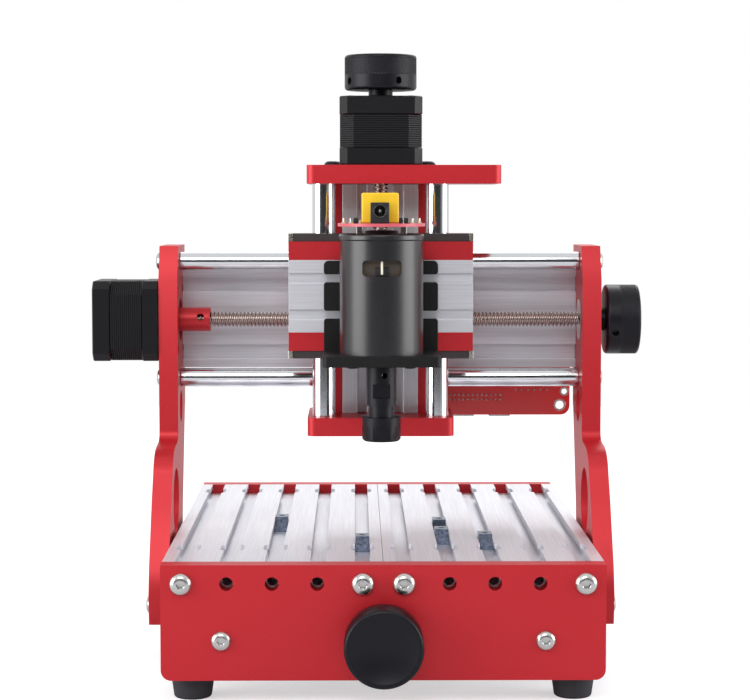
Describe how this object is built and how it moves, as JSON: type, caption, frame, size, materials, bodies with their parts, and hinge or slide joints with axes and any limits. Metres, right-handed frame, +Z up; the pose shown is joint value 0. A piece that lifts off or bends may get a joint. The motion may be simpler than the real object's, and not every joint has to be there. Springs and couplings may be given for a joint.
{
  "type": "cnc router",
  "caption": "Desktop CNC router: a gantry on lead screws carries a collet spindle over a T-slot bed, with handwheels on all three stepper-driven axes.",
  "frame": {"origin": "bottom centre of the machine's box, on the bench under the rubber feet", "axes": "+X to the operator's right along the gantry, +Y to the rear along the bed, +Z up along the spindle"},
  "size_m": [0.2906, 0.3466, 0.3116],
  "materials": {
    "red_anodised": "satin red anodised aluminium",
    "silver_extrusion": "satin natural anodised extrusion",
    "ground_rod": "ground and polished rod",
    "zinc_steel": "bright zinc-plated steel",
    "black_motor": "black painted motor steel",
    "black_anodised": "matt black anodised",
    "rubber_foot": "matt black rubber",
    "brass_nut": "turned brass",
    "red_circuit_board": "red solder mask on glass laminate",
    "yellow_epoxy": "yellow moulded capacitor case",
    "black_plastic": "black moulded plastic",
    "brown_laminate": "dark brown laminate",
    "blue_zinc": "blue zinc-plated steel"
  },
  "bodies": {
    "base": {"front_plate": "red_anodised", "rear_plate": "red_anodised", "bed_profile_left": "silver_extrusion", "bed_profile_right": "silver_extrusion", "y_guide_rods": "ground_rod", "rubber_feet": "rubber_foot", "base_screws": "zinc_steel", "y_screw_bearing": "zinc_steel", "y_motor": "black_motor"},
    "y_drive": {"y_lead_screw": "zinc_steel", "y_coupling": "red_anodised", "y_handwheel": "black_anodised", "y_motor_rotor": "zinc_steel"},
    "gantry": {"side_plate_left": "red_anodised", "side_plate_right": "red_anodised", "x_beam": "silver_extrusion", "lower_crossbar": "silver_extrusion", "x_guide_rods": "ground_rod", "gantry_fasteners": "zinc_steel", "gantry_bearings": "zinc_steel", "y_lead_nut": "brass_nut", "x_motor": "black_motor", "control_board": "red_circuit_board", "board_parts": "black_plastic"},
    "x_drive": {"x_lead_screw": "zinc_steel", "x_coupling": "red_anodised", "x_handwheel": "black_anodised", "x_motor_rotor": "zinc_steel"},
    "x_carriage": {"z_top_plate": "red_anodised", "z_bottom_plate": "red_anodised", "carriage_extrusion": "silver_extrusion", "carriage_side_plates": "red_anodised", "z_frame_screws": "zinc_steel", "z_guide_rods": "ground_rod", "carriage_bearings": "zinc_steel", "x_lead_nut": "brass_nut", "z_motor": "black_motor"},
    "z_drive": {"z_lead_screw": "zinc_steel", "z_handwheel": "black_anodised"},
    "slider": {"slider_extrusion": "silver_extrusion", "slider_caps": "red_anodised", "slider_retainers": "brown_laminate", "z_linear_bearings": "zinc_steel", "z_lead_nut": "brass_nut", "spindle_bracket": "black_anodised", "bracket_screws": "zinc_steel", "spindle_can": "black_motor", "spindle_end_cap": "black_motor", "spindle_board": "red_circuit_board", "spindle_board_parts": "yellow_epoxy", "dc_jack": "black_plastic"},
    "spindle_rotor": {"spindle_shaft": "zinc_steel", "collet_chuck": "black_anodised", "collet_nut": "black_anodised", "collet": "zinc_steel"},
    "t_nut_left_outer_body": {"t_nut_left_outer": "blue_zinc"},
    "t_nut_left_inner_body": {"t_nut_left_inner": "blue_zinc"},
    "t_nut_right_rear_body": {"t_nut_right_rear": "blue_zinc"},
    "t_nut_right_front_body": {"t_nut_right_front": "blue_zinc"},
    "t_nut_right_outer_body": {"t_nut_right_outer": "blue_zinc"}
  },
  "joints": [
    {"name": "y_slide", "type": "slide", "parent": "base", "child": "gantry", "axis": [0, 1, 0], "range_m": [-0.058, 0.13]},
    {"name": "x_slide", "type": "slide", "parent": "gantry", "child": "x_carriage", "axis": [1, 0, 0], "range_m": [-0.066, 0.066]},
    {"name": "z_slide", "type": "slide", "parent": "x_carriage", "child": "slider", "axis": [0, 0, 1], "range_m": [-0.03, 0.018]},
    {"name": "y_screw_spin", "type": "hinge", "parent": "base", "child": "y_drive", "pos_m": [0.0067, -0.1517, 0.03], "axis": [0, 1, 0], "range_deg": [-11705, 5225]},
    {"name": "x_screw_spin", "type": "hinge", "parent": "gantry", "child": "x_drive", "pos_m": [0.0067, -0.0017, 0.1732], "axis": [1, 0, 0], "range_deg": [-5945, 5945]},
    {"name": "z_screw_spin", "type": "hinge", "parent": "x_carriage", "child": "z_drive", "pos_m": [0.0067, -0.0362, 0.255], "axis": [0, 0, 1], "range_deg": [-1625, 2705]},
    {"name": "spindle_spin", "type": "hinge", "parent": "slider", "child": "spindle_rotor", "pos_m": [0.0067, -0.074, 0.1539], "axis": [0, 0, 1], "continuous": true},
    {"name": "t_nut_left_outer_slide", "type": "slide", "parent": "base", "child": "t_nut_left_outer_body", "axis": [0, 1, 0], "range_m": [-0.123, 0.135]},
    {"name": "t_nut_left_inner_slide", "type": "slide", "parent": "base", "child": "t_nut_left_inner_body", "axis": [0, 1, 0], "range_m": [-0.058, 0.2]},
    {"name": "t_nut_right_rear_slide", "type": "slide", "parent": "base", "child": "t_nut_right_rear_body", "axis": [0, 1, 0], "range_m": [-0.01, 0.146]},
    {"name": "t_nut_right_front_slide", "type": "slide", "parent": "base", "child": "t_nut_right_front_body", "axis": [0, 1, 0], "range_m": [-0.08, 0.01]},
    {"name": "t_nut_right_outer_slide", "type": "slide", "parent": "base", "child": "t_nut_right_outer_body", "axis": [0, 1, 0], "range_m": [-0.064, 0.194]}
  ],
  "couplings": [
    {"joint": "y_screw_spin", "follows": "y_slide", "rad_per_m": -1570.8},
    {"joint": "x_screw_spin", "follows": "x_slide", "rad_per_m": -1570.8},
    {"joint": "z_screw_spin", "follows": "z_slide", "rad_per_m": -1570.8}
  ]
}
